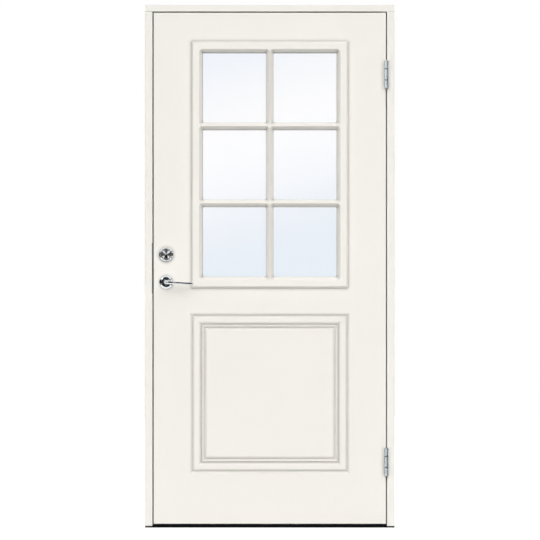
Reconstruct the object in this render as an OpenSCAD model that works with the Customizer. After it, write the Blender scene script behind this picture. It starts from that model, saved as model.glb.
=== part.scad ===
// Panelled front door in its frame: an outward-opening leaf with six panes above a moulded panel,
// a lever lock with a thumb turn, and two three-knuckle hinges.
// Millimetres. +Z is up, the outside of the house is towards -Y, hinges on the +X side.
// The origin is the middle of the threshold's underside, halfway through the frame's depth.

/* [Frame] */
// Overall width of the frame
frame_w = 988; // [888:1:1188]
// Overall height of the frame, threshold included
frame_h = 2070; // [2000:1:2270]
// Depth of the frame through the wall
frame_d = 105; // [100:1:130]
// Width of a jamb seen from outside
jamb_face = 30; // [28:1:40]
// Height of the head seen from outside
head_face = 27; // [24:1:40]
// How far the stop stands out beyond the rebate
stop_step = 16; // [14:1:24]
// Rounding of the painted edges
edge_r = 2; // [1:0.5:3]
// Diameter of the wall-fixing holes in the jambs
fix_d = 14; // [8:1:16]
// Distance of the end fixing holes from the top and the bottom
fix_end = 170; // [140:1:190]
// Distance of the inner fixing holes from half height
fix_mid = 325; // [280:1:400]

/* [Threshold] */
// Thickness of the plate that the jambs stand on
sill_plate = 6.3; // [5:0.1:10]
// Height of the step under the leaf above that plate
sill_step = 4.4; // [3:0.1:10]
// Height of the upstand behind the leaf
sill_stop = 34; // [30:1:45]
// Thickness of the metal rail on the upstand
rail_t = 2.5; // [1.5:0.5:4]

/* [Leaf] */
// Thickness of the leaf
leaf_t = 62; // [60:1:70]
// Gap round the leaf
leaf_gap = 4; // [3:0.5:6]
// Gap between the leaf and the stops, filled by the seals
seal_gap = 4; // [3:0.5:6]
// Thickness of a moulded skin
skin_t = 8; // [8:0.5:10]
// Width of the lock stile
lock_stile_w = 110; // [100:1:120]
// Width of the hinge stile
hinge_stile_w = 60; // [55:1:80]
// Height of the top rail
top_rail_h = 60; // [40:1:70]
// Height of the bottom rail
bottom_rail_h = 90; // [60:1:120]

/* [Glazing] */
// Distance of the side sight lines from the sides of the frame
sight_side = 229; // [220:1:260]
// Distance of the upper sight line below the top of the frame
sight_top = 190; // [170:1:260]
// Height of the lower sight line above the floor
sight_z = 994; // [985:1:1010]
// Panes across
panes_x = 2; // [1:1:3]
// Panes up
panes_z = 3; // [1:1:4]
// Width of a glazing bar
bar_w = 30; // [28:1:40]
// How far a glazing frame stands out from the leaf
raise = 14; // [9:0.5:16]
// Width of the flat face of a glazing frame
ring_flat = 17; // [14:1:22]
// Width of the bevelled outer edge of a glazing frame
ring_round = 8.5; // [5:0.5:10]
// Width of the bevel from the flat face down to the glass
bevel_w = 20.5; // [18:0.5:24]
// Depth of the lip behind the leaf's face
lip = 9; // [8:0.5:12]
// Thickness of a gasket
gasket_t = 2; // [1.5:0.5:3]
// Thickness of one pane
pane_t = 4; // [3:0.5:6]
// Space under the glass for the setting blocks
block_h = 5; // [4:0.5:7]
// Thickness of the lining round the aperture
lining_w = 22; // [18:1:30]

/* [Panel] */
// Distance of the panel's sides from the sides of the frame
panel_side = 179; // [170:1:240]
// Distance of the panel's upper edge below the lower sight line
panel_drop = 146; // [130:1:200]
// Height of the panel's lower edge above the floor
panel_z = 215; // [180:1:300]
// Depth of the panel's grooves
groove_depth = 6.5; // [3:0.5:6.5]

/* [Hinges] */
// Diameter of a knuckle
knuckle_d = 18; // [16:0.5:20]
// Height of a hinge
hinge_h = 110; // [90:1:130]
// Height of the lower hinge's centre above the floor
hinge_low = 261; // [255:1:300]
// Distance of the upper hinge's centre below the top of the frame
hinge_top = 276; // [265:1:300]
// Diameter of a hinge pin
pin_d = 10; // [8:0.5:11]
// Width of a hinge plate in the gap
plate_w = 36; // [32:1:42]
// Thickness of a hinge plate
plate_t = 3; // [2.5:0.5:4]
// Thickness of a washer between knuckles
washer_t = 1.5; // [1:0.5:3]

/* [Lock] */
// Distance from the leaf's edge to the lever's axis
backset = 50; // [45:1:55]
// Height of the lever's axis above the floor
lever_z = 972; // [960:1:985]
// Distance from the lever's axis up to the lock cylinder's axis
cylinder_rise = 110; // [108:1:114]
// Distance from the cylinder's axis down to the key plug's axis
plug_drop = 8; // [6:0.5:8]
// Thickness of the lock case
case_t = 16; // [16:0.5:18]
// Wall of the lock case
case_wall = 1.5; // [1:0.25:2]
// How far the latch stands out of the leaf's edge
latch_out = 12.5; // [10:0.5:12.5]
// Thickness of the faceplate
faceplate_t = 3; // [2.5:0.5:4]
// Width of the faceplate
faceplate_w = 22; // [20:1:26]
// Thickness of the strike plate
strike_t = 2.5; // [2:0.5:4]
// Width of the square spindle
spindle_w = 8; // [7:0.5:9]

/* [Furniture] */
// Diameter of a lever rose
rose_d = 55; // [48:1:58]
// Height of a lever rose
rose_h = 9; // [7:0.5:12]
// Diameter of the cylinder ring
ring_d = 56; // [52:1:60]
// Height of the cylinder ring
ring_h = 11; // [8:0.5:14]
// Diameter of the cylinder's face
cylinder_d = 42; // [40:0.5:46]
// Diameter of the cylinder's stem in the leaf
stem_d = 32; // [30:0.5:36]
// Diameter of the key plug
plug_d = 13; // [12:0.5:14]
// Diameter of a lever's neck
neck_d = 20; // [17:0.5:21]
// Distance of a lever's grip from the leaf
grip_out = 48; // [44:1:56]
// Reach of a lever from its axis
lever_reach = 109; // [95:1:125]
// Droop of a lever below the level, in degrees
lever_droop = 3.5; // [0:0.5:8]
// Diameter of the thumb turn's shaft
turn_d = 10; // [8:0.5:10]

/* [Fits] */
// Running clearance of a pin or a plug in its bore
run_fit = 0.05; // [0.02:0.01:0.1]
// Clearance between pieces that pass or fill a hole loosely
slide_fit = 0.3; // [0.3:0.05:0.5]
// Clearance round a screw
screw_fit = 0.2; // [0.1:0.05:0.4]

/* [Hidden] */
$fn = 64;
eps = 1;
paint = [0.953, 0.941, 0.914];
raw_wood = [0.78, 0.66, 0.48];
black = [0.09, 0.09, 0.10];
steel = [0.72, 0.75, 0.77];
dark_steel = [0.43, 0.44, 0.44];
chrome = [0.85, 0.86, 0.87];
brass = [0.62, 0.50, 0.27];
rubber = [0.13, 0.13, 0.13];
glass = [0.93, 0.95, 0.98];

// faces of the frame and the leaf
y_out = -frame_d / 2;
y_in = frame_d / 2;
y_skin = y_out + skin_t;
y_mid = y_out + leaf_t / 2;
y_leaf = y_out + leaf_t;
y_core = y_leaf - skin_t;
y_stop = y_leaf + seal_gap;
x_out = frame_w / 2;
x_reb = x_out - jamb_face;
x_stop = x_reb - stop_step;
z_reb = frame_h - head_face;
z_stop = z_reb - stop_step;
leaf_x = x_reb - leaf_gap;
leaf_z0 = sill_plate + sill_step + leaf_gap;
leaf_z1 = z_reb - leaf_gap;
z_half = frame_h / 2 + 20;
fix_z = [fix_end + 10, z_half - fix_mid, z_half + fix_mid, frame_h - fix_end];

// seals
seal_r = seal_gap - slide_fit;
seal_in = 9;
seal_stem = 3;
seal_deep = 7;
seal_x = x_reb - seal_in;
seal_head_z = z_reb - seal_in;
seal_sill_z = sill_stop - seal_in;

// glazing
sight_w = frame_w - 2 * sight_side;
sight_h = frame_h - sight_top - sight_z;
panel_w = frame_w - 2 * panel_side;
panel_h = sight_z - panel_drop - panel_z;
aper_w = sight_w + 2 * bevel_w;
aper_h = sight_h + 2 * bevel_w;
aper_z = sight_z + sight_h / 2;
gframe_w = aper_w + 2 * (ring_flat + ring_round);
gframe_h = aper_h + 2 * (ring_flat + ring_round);
lip_w = aper_w - 2 * slide_fit;
lip_h = aper_h - 2 * slide_fit;
glass_w = aper_w - 2 * block_h;
glass_h = aper_h - 2 * block_h;
unit_y0 = y_out + lip + gasket_t;
unit_y1 = y_leaf - lip - gasket_t;
space_t = (unit_y1 - unit_y0 - 3 * pane_t) / 2;
spacer_w = 12;
block_w = 80;
block_x = glass_w / 2 - 90;
pane_w = (sight_w - (panes_x - 1) * bar_w) / panes_x;
pane_h = (sight_h - (panes_z - 1) * bar_w) / panes_z;
steep_w = 4.5;
steep_h = 9.5;
bar_tape = 8;
gscrew_d = 4;
gscrew_l = raise + 31;
gscrew_head = 8;
gscrew_head_h = 2.5;
gscrew_x = aper_w / 2 + ring_flat / 2;
gscrew_z = aper_h / 2 + ring_flat / 2;

// hinges
hinge_x = (x_reb + leaf_x) / 2;
hinge_y = y_out - knuckle_d / 2 - 0.5;
hinge_z = [hinge_low, frame_h - hinge_top];
frame_knuckle = (hinge_h - 2 * washer_t) * 0.3;
door_knuckle = hinge_h - 2 * (frame_knuckle + washer_t);
hscrew_d = 5;
hscrew_l = 38;
jscrew_l = 27;
knuckle_ease = 1.2;
hscrew_head = 9.5;
hscrew_head_h = 2.3;
hscrew_y = [y_out + plate_w * 0.34, y_out + plate_w * 0.72];
hscrew_z = [hinge_h * 0.19, hinge_h * 0.4];

// lock
case_end = 45;
case_back = 28;
faceplate_over = 18;
lock_x = -leaf_x + backset;
cyl_z = lever_z + cylinder_rise;
plug_z = cyl_z - plug_drop;
case_x0 = -leaf_x + faceplate_t;
case_x1 = lock_x + case_back;
case_z0 = lever_z - case_end;
case_z1 = cyl_z + case_end;
case_y0 = y_mid - case_t / 2;
case_y1 = y_mid + case_t / 2;
cover_y = case_y1 - case_wall;
bolt_thick = case_t - 2 * case_wall - 1;
latch_z = lever_z + 40;
latch_h = 24;
bolt_z = lever_z + 80;
bolt_h = 26;
bolt_in = 0.5;
bolt_throw = 20.5;
hub_r = 10;
arm_r = 17;
arm_start = 22.5;
drive_d = 5;
cam_r = bolt_throw / 2 / cos(45);
tail_t = 4;
tail_y = y_mid - 1.5;
arm_t = 4;
arm_y = y_mid - 6;
slot_w = drive_d + 1.4;
faceplate_h = case_z1 - case_z0 + 2 * faceplate_over;
faceplate_zc = (case_z0 + case_z1) / 2;
lscrew_d = 4.5;
lscrew_l = 35;
sscrew_l = 24;
lscrew_head = 8.6;
lscrew_head_h = 2;
strike_w = 45;
strike_pocket_l = 18;
strike_pocket_y = bolt_thick + 4;

// furniture
neck_hole = neck_d + 2 * slide_fit;
socket_deep = 24;
collar_d = 24;
collar_h = 2;
elbow_r = 16;
elbow_d = 17;
bar_d = 11;
waist_d = 10;
tip_d = 11.6;
taper_l = 22;
grub_d = 5;
grub_y = 15;
turn_grip_h = 38;
turn_grip_w = 12;
turn_grip_out = 22;

// screws at the frame's corners
cscrew_d = 6;
cscrew_len = 90;
cscrew_head = 11;
cscrew_head_h = 3;
cscrew_x = x_out - jamb_face / 2;
cscrew_y = [y_out + 24, y_in - 24];

function arc(cx, cy, r, a0, a1, n = 5) =
    [for (i = [0 : n]) let (a = a0 + (a1 - a0) * i / n) [cx + r * cos(a), cy + r * sin(a)]];

// a drawing in X and Z, given thickness from y0 to y1
module plate_y(y0, y1) {
    translate([0, y1, 0]) rotate([90, 0, 0]) linear_extrude(y1 - y0) children();
}

// a drawing in Y and Z, given length from x0 to x1
module bar_x(x0, x1) {
    translate([x0, 0, 0]) rotate([90, 0, 90]) linear_extrude(x1 - x0) children();
}

// a drawing in X and Y, given height from z0 to z1
module bar_z(z0, z1) {
    translate([0, 0, z0]) linear_extrude(z1 - z0) children();
}

// a box from one corner to the other
module block(low, high) {
    translate(low) cube(high - low);
}

// a rod along Y
module rod_y(x, z, d, y0, y1) {
    translate([x, y1, z]) rotate([90, 0, 0]) cylinder(d = d, h = y1 - y0);
}

// a turned shape about an axis along Y, drawn as radius and distance outwards
module turned_y(x, y, z) {
    translate([x, y, z]) rotate([90, 0, 0]) rotate_extrude() children();
}

// a countersunk screw, head flush at the origin, pointing down -Z
module screw(d, l, head_d, head_h) {
    point = 1.2 * d;
    recess = [head_d * 0.6, head_d * 0.14];
    difference() {
        union() {
            translate([0, 0, point - l]) cylinder(d = d, h = l - point);
            translate([0, 0, -l]) cylinder(d1 = d * 0.2, d2 = d, h = point);
            translate([0, 0, -head_h]) cylinder(d1 = d, d2 = head_d, h = head_h);
        }
        for (a = [0, 90]) rotate(a)
            translate([-recess[0] / 2, -recess[1] / 2, -head_h * 0.7]) cube([recess[0], recess[1], head_h]);
    }
}

// the hole for such a screw
module screw_hole(d, l, head_d, head_h) {
    translate([0, 0, -l - screw_fit]) cylinder(d = d + 2 * screw_fit, h = l + screw_fit + eps);
    translate([0, 0, -head_h])
        cylinder(d1 = d + 2 * screw_fit, d2 = head_d + 2 * screw_fit, h = head_h);
    cylinder(d = head_d + 2 * screw_fit, h = eps);
}

// section of the hinge jamb
module jamb_section() {
    r = edge_r;
    polygon(concat(
        arc(x_reb + r, y_out + r, r, 180, 270),
        arc(x_out - r, y_out + r, r, 270, 360),
        [[x_out, y_in]],
        arc(x_stop + r, y_in - r, r, 90, 180),
        arc(x_stop + r, y_stop + r, r, 180, 270),
        [[x_reb, y_stop]]));
}

// section of the head, in Y and Z
module head_section() {
    r = edge_r;
    polygon(concat(
        arc(y_out + r, frame_h - r, r, 90, 180),
        arc(y_out + r, z_reb + r, r, 180, 270),
        [[y_stop, z_reb]],
        arc(y_stop + r, z_stop + r, r, 180, 270),
        arc(y_in - r, z_stop + r, r, 270, 360),
        [[y_in, frame_h]]));
}

// section of a seal: a half-round bulb on a stem, drawn with the stop's face along y = 0
module seal_section() {
    translate([-seal_stem / 2, 0]) square([seal_stem, seal_deep]);
    intersection() {
        circle(r = seal_r);
        translate([-seal_r, -seal_r]) square([2 * seal_r, seal_r]);
    }
}

// the groove for the seal's stem
module seal_groove() {
    translate([-seal_stem / 2, -eps]) square([seal_stem, seal_deep + eps]);
}

// a drawing of a seal turned to stand along the head or the threshold
module along_x(z, half) {
    bar_x(-half, half) translate([y_stop, z]) rotate(-90) children();
}

// a drawing of a seal turned to stand along a jamb
module along_z(x, z0, z1) {
    bar_z(z0, z1) translate([x, y_stop]) children();
}

// screws at the four corners: from above into the jambs, and from below
module at_corners(z_top, z_low) {
    for (s = [-1, 1], y = cscrew_y) {
        translate([s * cscrew_x, y, z_top]) children();
        translate([s * cscrew_x, y, z_low]) rotate([180, 0, 0]) children();
    }
}

module corner_holes() {
    at_corners(frame_h, 0) screw_hole(cscrew_d, cscrew_len, cscrew_head, cscrew_head_h);
}

module frame_head() {
    color(paint) difference() {
        bar_x(-x_out, x_out) head_section();
        along_x(seal_head_z, x_stop) seal_groove();
        corner_holes();
    }
}

// one jamb on the hinge side, cut to the head's shape at the top
module jamb_blank() {
    difference() {
        bar_z(sill_plate, z_reb) jamb_section();
        bar_x(-x_out - eps, x_out + eps) head_section();
        along_z(seal_x, sill_plate - eps, z_reb + eps) seal_groove();
        for (z = fix_z)
            translate([x_reb - eps, y_mid, z]) rotate([0, 90, 0])
                cylinder(d = fix_d, h = jamb_face + 2 * eps);
        corner_holes();
    }
}

module hinge_jamb() {
    color(paint) difference() {
        jamb_blank();
        for (z = hinge_z) {
            block([x_reb - eps, y_out - eps, z - hinge_h / 2],
                [x_reb + plate_t, y_out + plate_w, z + hinge_h / 2]);
            at_plate_screws(z, x_reb, 1) screw_hole(hscrew_d, jscrew_l, hscrew_head, hscrew_head_h);
        }
    }
}

module lock_jamb() {
    color(paint) difference() {
        mirror([1, 0, 0]) jamb_blank();
        block([-x_reb - strike_t, y_out - eps, case_z0], [-x_reb + eps, y_out + strike_w, case_z1]);
        strike_pockets(-x_reb - strike_pocket_l, -x_reb + eps);
        at_strike_screws() screw_hole(lscrew_d, sscrew_l, lscrew_head, lscrew_head_h);
    }
}

// room for the latch and the dead bolt in the lock jamb
module strike_pockets(x0, x1) {
    w = strike_pocket_y / 2;
    block([x0, y_mid - w, latch_z - latch_h / 2 - 3], [x1, y_mid + w, latch_z + latch_h / 2 + 3]);
    block([x0, y_mid - w, bolt_z - bolt_h / 2 - 3], [x1, y_mid + w, bolt_z + bolt_h / 2 + 3]);
}

module at_strike_screws() {
    for (z = [case_z0 + 18, case_z1 - 18])
        translate([-x_reb, y_mid, z]) rotate([0, 90, 0]) children();
}

module strike_plate() {
    color(dark_steel) difference() {
        block([-x_reb - strike_t, y_out, case_z0], [-x_reb, y_out + strike_w, case_z1]);
        strike_pockets(-x_reb - strike_t - eps, -x_reb + eps);
        at_strike_screws() screw_hole(lscrew_d, sscrew_l, lscrew_head, lscrew_head_h);
    }
}

module strike_screws() {
    color(steel) at_strike_screws() screw(lscrew_d, sscrew_l, lscrew_head, lscrew_head_h);
}

module corner_screws() {
    color(steel) at_corners(frame_h, 0) screw(cscrew_d, cscrew_len, cscrew_head, cscrew_head_h);
}

module threshold() {
    color(black) difference() {
        union() {
            block([-x_out, y_out, 0], [x_out, y_in, sill_plate]);
            block([-x_reb, y_out + 1, sill_plate], [x_reb, y_stop, sill_plate + sill_step]);
            block([-x_stop, y_stop, sill_plate], [x_stop, y_in, sill_stop]);
        }
        along_x(seal_sill_z, x_stop + eps) seal_groove();
        corner_holes();
    }
}

module threshold_rail() {
    r = rail_t * 0.6;
    color(steel) bar_x(-x_stop, x_stop) polygon(concat(
        [[y_stop + 2, sill_stop]],
        [[y_in - 2, sill_stop]],
        arc(y_in - 2 - r, sill_stop + rail_t - r, r, 0, 90),
        arc(y_stop + 2 + r, sill_stop + rail_t - r, r, 90, 180)));
}

module head_seal() {
    color(rubber) along_x(seal_head_z, x_stop) seal_section();
}

// a jamb seal runs from the threshold's step up to the head's stop
module jamb_seal(x) {
    along_z(x, sill_plate + sill_step, z_stop) seal_section();
}

module lock_jamb_seal() {
    color(rubber) jamb_seal(-seal_x);
}

module hinge_jamb_seal() {
    color(rubber) jamb_seal(seal_x);
}

module threshold_seal() {
    color(rubber) along_x(seal_sill_z, x_stop) seal_section();
}

// places for the screws of a hinge plate lying at x, facing towards -X when side is 1
module at_plate_screws(z, x, side) {
    for (y = hscrew_y, dz = hscrew_z, s = [-1, 1])
        if (y < y_out + plate_w / 2 ? dz > hinge_h * 0.3 : dz < hinge_h * 0.3)
            translate([x, y, z + s * dz]) rotate([0, side * -90, 0]) children();
}

// one knuckle of a hinge, eased at its ends
module knuckle(h) {
    r = knuckle_d / 2;
    c = knuckle_ease;
    rotate_extrude() polygon([[0, 0], [r - c, 0], [r, c], [r, h - c], [r - c, h], [0, h]]);
}

// the part of a hinge fixed to the jamb: two knuckles joined to a plate
module frame_hinge(z) {
    color(steel) difference() {
        union() {
            block([x_reb, y_out, z - hinge_h / 2], [x_reb + plate_t, y_out + plate_w, z + hinge_h / 2]);
            for (s = [-1, 1]) translate([0, 0, z + s * (hinge_h - frame_knuckle) / 2]) {
                translate([hinge_x, hinge_y, -frame_knuckle / 2]) knuckle(frame_knuckle);
                block([x_reb, hinge_y, -frame_knuckle / 2],
                    [x_reb + plate_t, y_out + eps, frame_knuckle / 2]);
            }
        }
        translate([hinge_x, hinge_y, z - hinge_h / 2 - eps])
            cylinder(d = pin_d + 2 * run_fit, h = hinge_h + 2 * eps);
        at_plate_screws(z, x_reb, 1) screw_hole(hscrew_d, jscrew_l, hscrew_head, hscrew_head_h);
    }
}

module upper_frame_hinge() {
    frame_hinge(hinge_z[1]);
}

module lower_frame_hinge() {
    frame_hinge(hinge_z[0]);
}

module hinge_pins() {
    color(steel) for (z = hinge_z)
        translate([hinge_x, hinge_y, z - hinge_h / 2]) cylinder(d = pin_d, h = hinge_h);
}

module hinge_washers() {
    color(brass) for (z = hinge_z, s = [-1, 1])
        translate([hinge_x, hinge_y, z + s * (door_knuckle + washer_t) / 2 - washer_t / 2])
            difference() {
                cylinder(d = knuckle_d - 2 * knuckle_ease, h = washer_t);
                translate([0, 0, -eps]) cylinder(d = pin_d + 2 * run_fit, h = washer_t + 2 * eps);
            }
}

module frame_hinge_screws() {
    color(steel) for (z = hinge_z)
        at_plate_screws(z, x_reb, 1) screw(hscrew_d, jscrew_l, hscrew_head, hscrew_head_h);
}

// the part of a hinge fixed to the leaf's edge: the middle knuckle joined to a plate
module door_hinge(z) {
    color(steel) difference() {
        union() {
            block([leaf_x - plate_t, y_out, z - hinge_h / 2], [leaf_x, y_out + plate_w, z + hinge_h / 2]);
            translate([hinge_x, hinge_y, z - door_knuckle / 2]) knuckle(door_knuckle);
            block([leaf_x - plate_t, hinge_y, z - door_knuckle / 2],
                [leaf_x, y_out + eps, z + door_knuckle / 2]);
        }
        translate([hinge_x, hinge_y, z - hinge_h / 2 - eps])
            cylinder(d = pin_d + 2 * run_fit, h = hinge_h + 2 * eps);
        at_plate_screws(z, leaf_x, -1) screw_hole(hscrew_d, hscrew_l, hscrew_head, hscrew_head_h);
    }
}

module upper_door_hinge() {
    door_hinge(hinge_z[1]);
}

module lower_door_hinge() {
    door_hinge(hinge_z[0]);
}

module door_hinge_screws() {
    color(steel) for (z = hinge_z)
        at_plate_screws(z, leaf_x, -1) screw(hscrew_d, hscrew_l, hscrew_head, hscrew_head_h);
}

// room for the door hinges in the leaf's edge
module hinge_housings() {
    for (z = hinge_z) {
        block([leaf_x - plate_t, y_out - eps, z - hinge_h / 2],
            [leaf_x + eps, y_out + plate_w, z + hinge_h / 2]);
        at_plate_screws(z, leaf_x, -1) screw_hole(hscrew_d, hscrew_l, hscrew_head, hscrew_head_h);
    }
}

// section of one side of the panel's moulding: an outer groove, a flat band and an ogee
module moulding_section() {
    g = groove_depth;
    polygon([[-g * 0.2 * 1.75, -1], [8.7, g * 0.9], [16.6 + 1.6, -1]]);
    polygon([[32 - 2.1, -1], [37, g * 0.3], [43.5, g], [49, g * 0.25], [57, g], [66.5 + 1.7, -1]]);
}

// one mitred side of the moulding, running along X below the middle of the panel
module moulding_side(half, low) {
    m = 80;
    intersection() {
        bar_x(-half - 5, half + 5) translate([0, -low]) rotate(90) mirror([0, 1]) moulding_section();
        plate_y(-5, groove_depth + 5)
            polygon([[-half - 5, -low - 5], [half + 5, -low - 5],
                [half - m, m - low], [m - half, m - low]]);
    }
}

// the whole moulding, cut into the outside face of the leaf
module panel_moulding() {
    translate([0, y_out, panel_z + panel_h / 2]) {
        moulding_side(panel_w / 2, panel_h / 2);
        rotate([0, 90, 0]) moulding_side(panel_h / 2, panel_w / 2);
        rotate([0, 180, 0]) moulding_side(panel_w / 2, panel_h / 2);
        rotate([0, 270, 0]) moulding_side(panel_h / 2, panel_w / 2);
    }
}

// a rectangle rounded at its two corners on the low y side
module front_rounded(x0, x1, y0, y1, r) {
    polygon(concat(arc(x0 + r, y0 + r, r, 180, 270), arc(x1 - r, y0 + r, r, 270, 360),
        [[x1, y1], [x0, y1]]));
}

// the same, rounded at its two corners on the low x side
module left_rounded(x0, x1, y0, y1, r) {
    polygon(concat(arc(x0 + r, y1 - r, r, 90, 180), arc(x0 + r, y0 + r, r, 180, 270),
        [[x1, y0], [x1, y1]]));
}

// a plate whose edges towards the outside are rounded and mitred
module rounded_plate(w, z0, z1, y0, y1, r) {
    intersection() {
        bar_z(z0 - eps, z1 + eps) front_rounded(-w / 2, w / 2, y0, y1, r);
        bar_x(-w / 2 - eps, w / 2 + eps) left_rounded(y0, y1, z0, z1, r);
    }
}

// section of a bevelled edge: distance in from the edge, and depth from the flat face
function bevel_edge(w, h) = [[0, h], [0, h - 1.5], [w * 0.74, 2.4], [w * 0.86, 0.9], [w, 0]];

// a plate whose edges towards the outside are bevelled and mitred
module bevelled_plate(w, z0, z1, y0, y1, b) {
    edge = bevel_edge(b, y1 - y0);
    n = len(edge) - 1;
    intersection() {
        bar_z(z0 - eps, z1 + eps) polygon(concat([for (e = edge) [e[0] - w / 2, y0 + e[1]]],
            [for (i = [0 : n]) [w / 2 - edge[n - i][0], y0 + edge[n - i][1]]]));
        bar_x(-w / 2 - eps, w / 2 + eps) polygon(concat([for (e = edge) [y0 + e[1], z0 + e[0]]],
            [for (i = [0 : n]) [y0 + edge[n - i][1], z1 - edge[n - i][0]]]));
    }
}

// things on the inside face mirror those outside
module inside() {
    translate([0, 2 * y_mid, 0]) mirror([0, 1, 0]) children();
}

// holes through the lock side of the leaf, between two depths
module lock_holes(y0, y1) {
    rod_y(lock_x, lever_z, 2 * hub_r + 2 * slide_fit, y0, y1);
}

// a moulded skin on the outside, before the holes for the lock
module skin_blank() {
    difference() {
        rounded_plate(2 * leaf_x, leaf_z0, leaf_z1, y_out, y_skin, edge_r);
        block([-aper_w / 2, y_out - eps, aper_z - aper_h / 2],
            [aper_w / 2, y_skin + eps, aper_z + aper_h / 2]);
        panel_moulding();
    }
}

module outer_skin() {
    color(paint) difference() {
        skin_blank();
        hinge_housings();
        lock_holes(y_out - eps, y_skin + eps);
        rod_y(lock_x, cyl_z, stem_d + 2 * slide_fit, y_out - eps, y_skin + eps);
    }
}

module inner_skin() {
    color(paint) difference() {
        inside() skin_blank();
        lock_holes(y_core - eps, y_leaf + eps);
        rod_y(lock_x, cyl_z, turn_d + 2 * slide_fit, y_core - eps, y_leaf + eps);
        inside() at_glazing_screws() screw_hole(gscrew_d, gscrew_l, gscrew_head, gscrew_head_h);
    }
}

module lock_stile() {
    color(raw_wood) difference() {
        block([-leaf_x, y_skin, leaf_z0], [-leaf_x + lock_stile_w, y_core, leaf_z1]);
        block([-leaf_x - eps, case_y0 - slide_fit, case_z0 - slide_fit],
            [case_x1 + slide_fit, case_y1 + slide_fit, case_z1 + slide_fit]);
        block([-leaf_x - eps, y_mid - faceplate_w / 2, faceplate_zc - faceplate_h / 2],
            [-leaf_x + faceplate_t, y_mid + faceplate_w / 2, faceplate_zc + faceplate_h / 2]);
        lock_holes(y_skin - eps, y_core + eps);
        rod_y(lock_x, cyl_z, stem_d + 2 * slide_fit, y_skin - eps, y_mid);
        rod_y(lock_x, cyl_z, turn_d + 2 * slide_fit, y_mid, y_core + eps);
        at_faceplate_screws() screw_hole(lscrew_d, lscrew_l, lscrew_head, lscrew_head_h);
    }
}

module hinge_stile() {
    color(raw_wood) difference() {
        block([leaf_x - hinge_stile_w, y_skin, leaf_z0], [leaf_x, y_core, leaf_z1]);
        hinge_housings();
    }
}

module top_rail() {
    color(raw_wood) block([-leaf_x + lock_stile_w, y_skin, leaf_z1 - top_rail_h],
        [leaf_x - hinge_stile_w, y_core, leaf_z1]);
}

module bottom_rail() {
    color(raw_wood) block([-leaf_x + lock_stile_w, y_skin, leaf_z0],
        [leaf_x - hinge_stile_w, y_core, leaf_z0 + bottom_rail_h]);
}

module rect_ring(w, h, t) {
    translate([0, aper_z]) difference() {
        square([w, h], center = true);
        square([w - 2 * t, h - 2 * t], center = true);
    }
}

module aperture_lining() {
    color(raw_wood) difference() {
        plate_y(y_skin, y_core) rect_ring(aper_w + 2 * lining_w, aper_h + 2 * lining_w, lining_w);
        inside() at_glazing_screws() screw_hole(gscrew_d, gscrew_l, gscrew_head, gscrew_head_h);
    }
}

module insulation_core() {
    color([0.93, 0.90, 0.80]) difference() {
        block([-leaf_x + lock_stile_w, y_skin, leaf_z0 + bottom_rail_h],
            [leaf_x - hinge_stile_w, y_core, leaf_z1 - top_rail_h]);
        block([-aper_w / 2 - lining_w, y_skin - eps, aper_z - aper_h / 2 - lining_w],
            [aper_w / 2 + lining_w, y_core + eps, aper_z + aper_h / 2 + lining_w]);
    }
}

// section of the bevel beside a pane: distance from the sight line, and depth from the flat face
bevel_end = raise + lip;
bevel_over = 3;
bevel_line = concat(
    [[0, bevel_end], [steep_w, bevel_end - steep_h]],
    arc(bevel_w - 4, 6.2, 6.2, -108, -90, 3),
    [[bevel_w, 0]]);

// the room in front of one pane, with its bevels
module pane_room() {
    y0 = y_out - raise;
    block([-pane_w / 2, y0 - 2, -pane_h / 2], [pane_w / 2, y_out + lip + eps, pane_h / 2]);
    for (s = [-1, 1]) {
        bar_z(-pane_h / 2, pane_h / 2)
            translate([s * pane_w / 2, y0]) scale([s, 1]) bevel_drawing(bevel_over);
        bar_x(-pane_w / 2, pane_w / 2)
            translate([y0, s * pane_h / 2]) rotate(90) scale([s, -1]) bevel_drawing(bevel_over);
        for (t = [-1, 1])
            translate([s * pane_w / 2, y0, t * pane_h / 2]) rotate([90, 0, 0])
                rotate_extrude() scale([1, -1]) bevel_drawing(0);
    }
}

// section of the room over a bevel, reaching a little way into the room over the pane
module bevel_drawing(over) {
    polygon(concat([[-over, -2], [-over, bevel_end]], over > 0 ? [[0, bevel_end]] : [],
        [for (i = [1 : len(bevel_line) - 1]) bevel_line[i]], [[bevel_w, -2]]));
}

module at_panes() {
    for (i = [0 : panes_x - 1], k = [0 : panes_z - 1])
        translate([(i - (panes_x - 1) / 2) * (pane_w + bar_w), 0,
            aper_z + (k - (panes_z - 1) / 2) * (pane_h + bar_w)]) children();
}

// a glazing frame on the outside: raised ring, lip in the aperture and glazing bars
module glazing_frame() {
    difference() {
        union() {
            bevelled_plate(gframe_w, aper_z - gframe_h / 2, aper_z + gframe_h / 2,
                y_out - raise, y_out, ring_round);
            block([-lip_w / 2, y_out, aper_z - lip_h / 2], [lip_w / 2, y_out + lip, aper_z + lip_h / 2]);
        }
        at_panes() pane_room();
    }
}

module outer_glazing_frame() {
    color(paint) glazing_frame();
}

// places for the screws that clamp the inner glazing frame, drawn on the outside
module at_glazing_screws() {
    for (s = [-1, 1]) {
        for (k = [-1 : 1])
            translate([s * gscrew_x, y_out - raise, aper_z + k * aper_h * 0.36])
                rotate([90, 0, 0]) children();
        translate([s * aper_w * 0.25, y_out - raise, aper_z + gscrew_z]) rotate([90, 0, 0]) children();
        translate([s * aper_w * 0.25, y_out - raise, aper_z - gscrew_z]) rotate([90, 0, 0]) children();
    }
}

module inner_glazing_frame() {
    color(paint) inside() difference() {
        glazing_frame();
        at_glazing_screws() screw_hole(gscrew_d, gscrew_l, gscrew_head, gscrew_head_h);
    }
}

module glazing_screws() {
    color(steel) inside() at_glazing_screws() screw(gscrew_d, gscrew_l, gscrew_head, gscrew_head_h);
}

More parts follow.
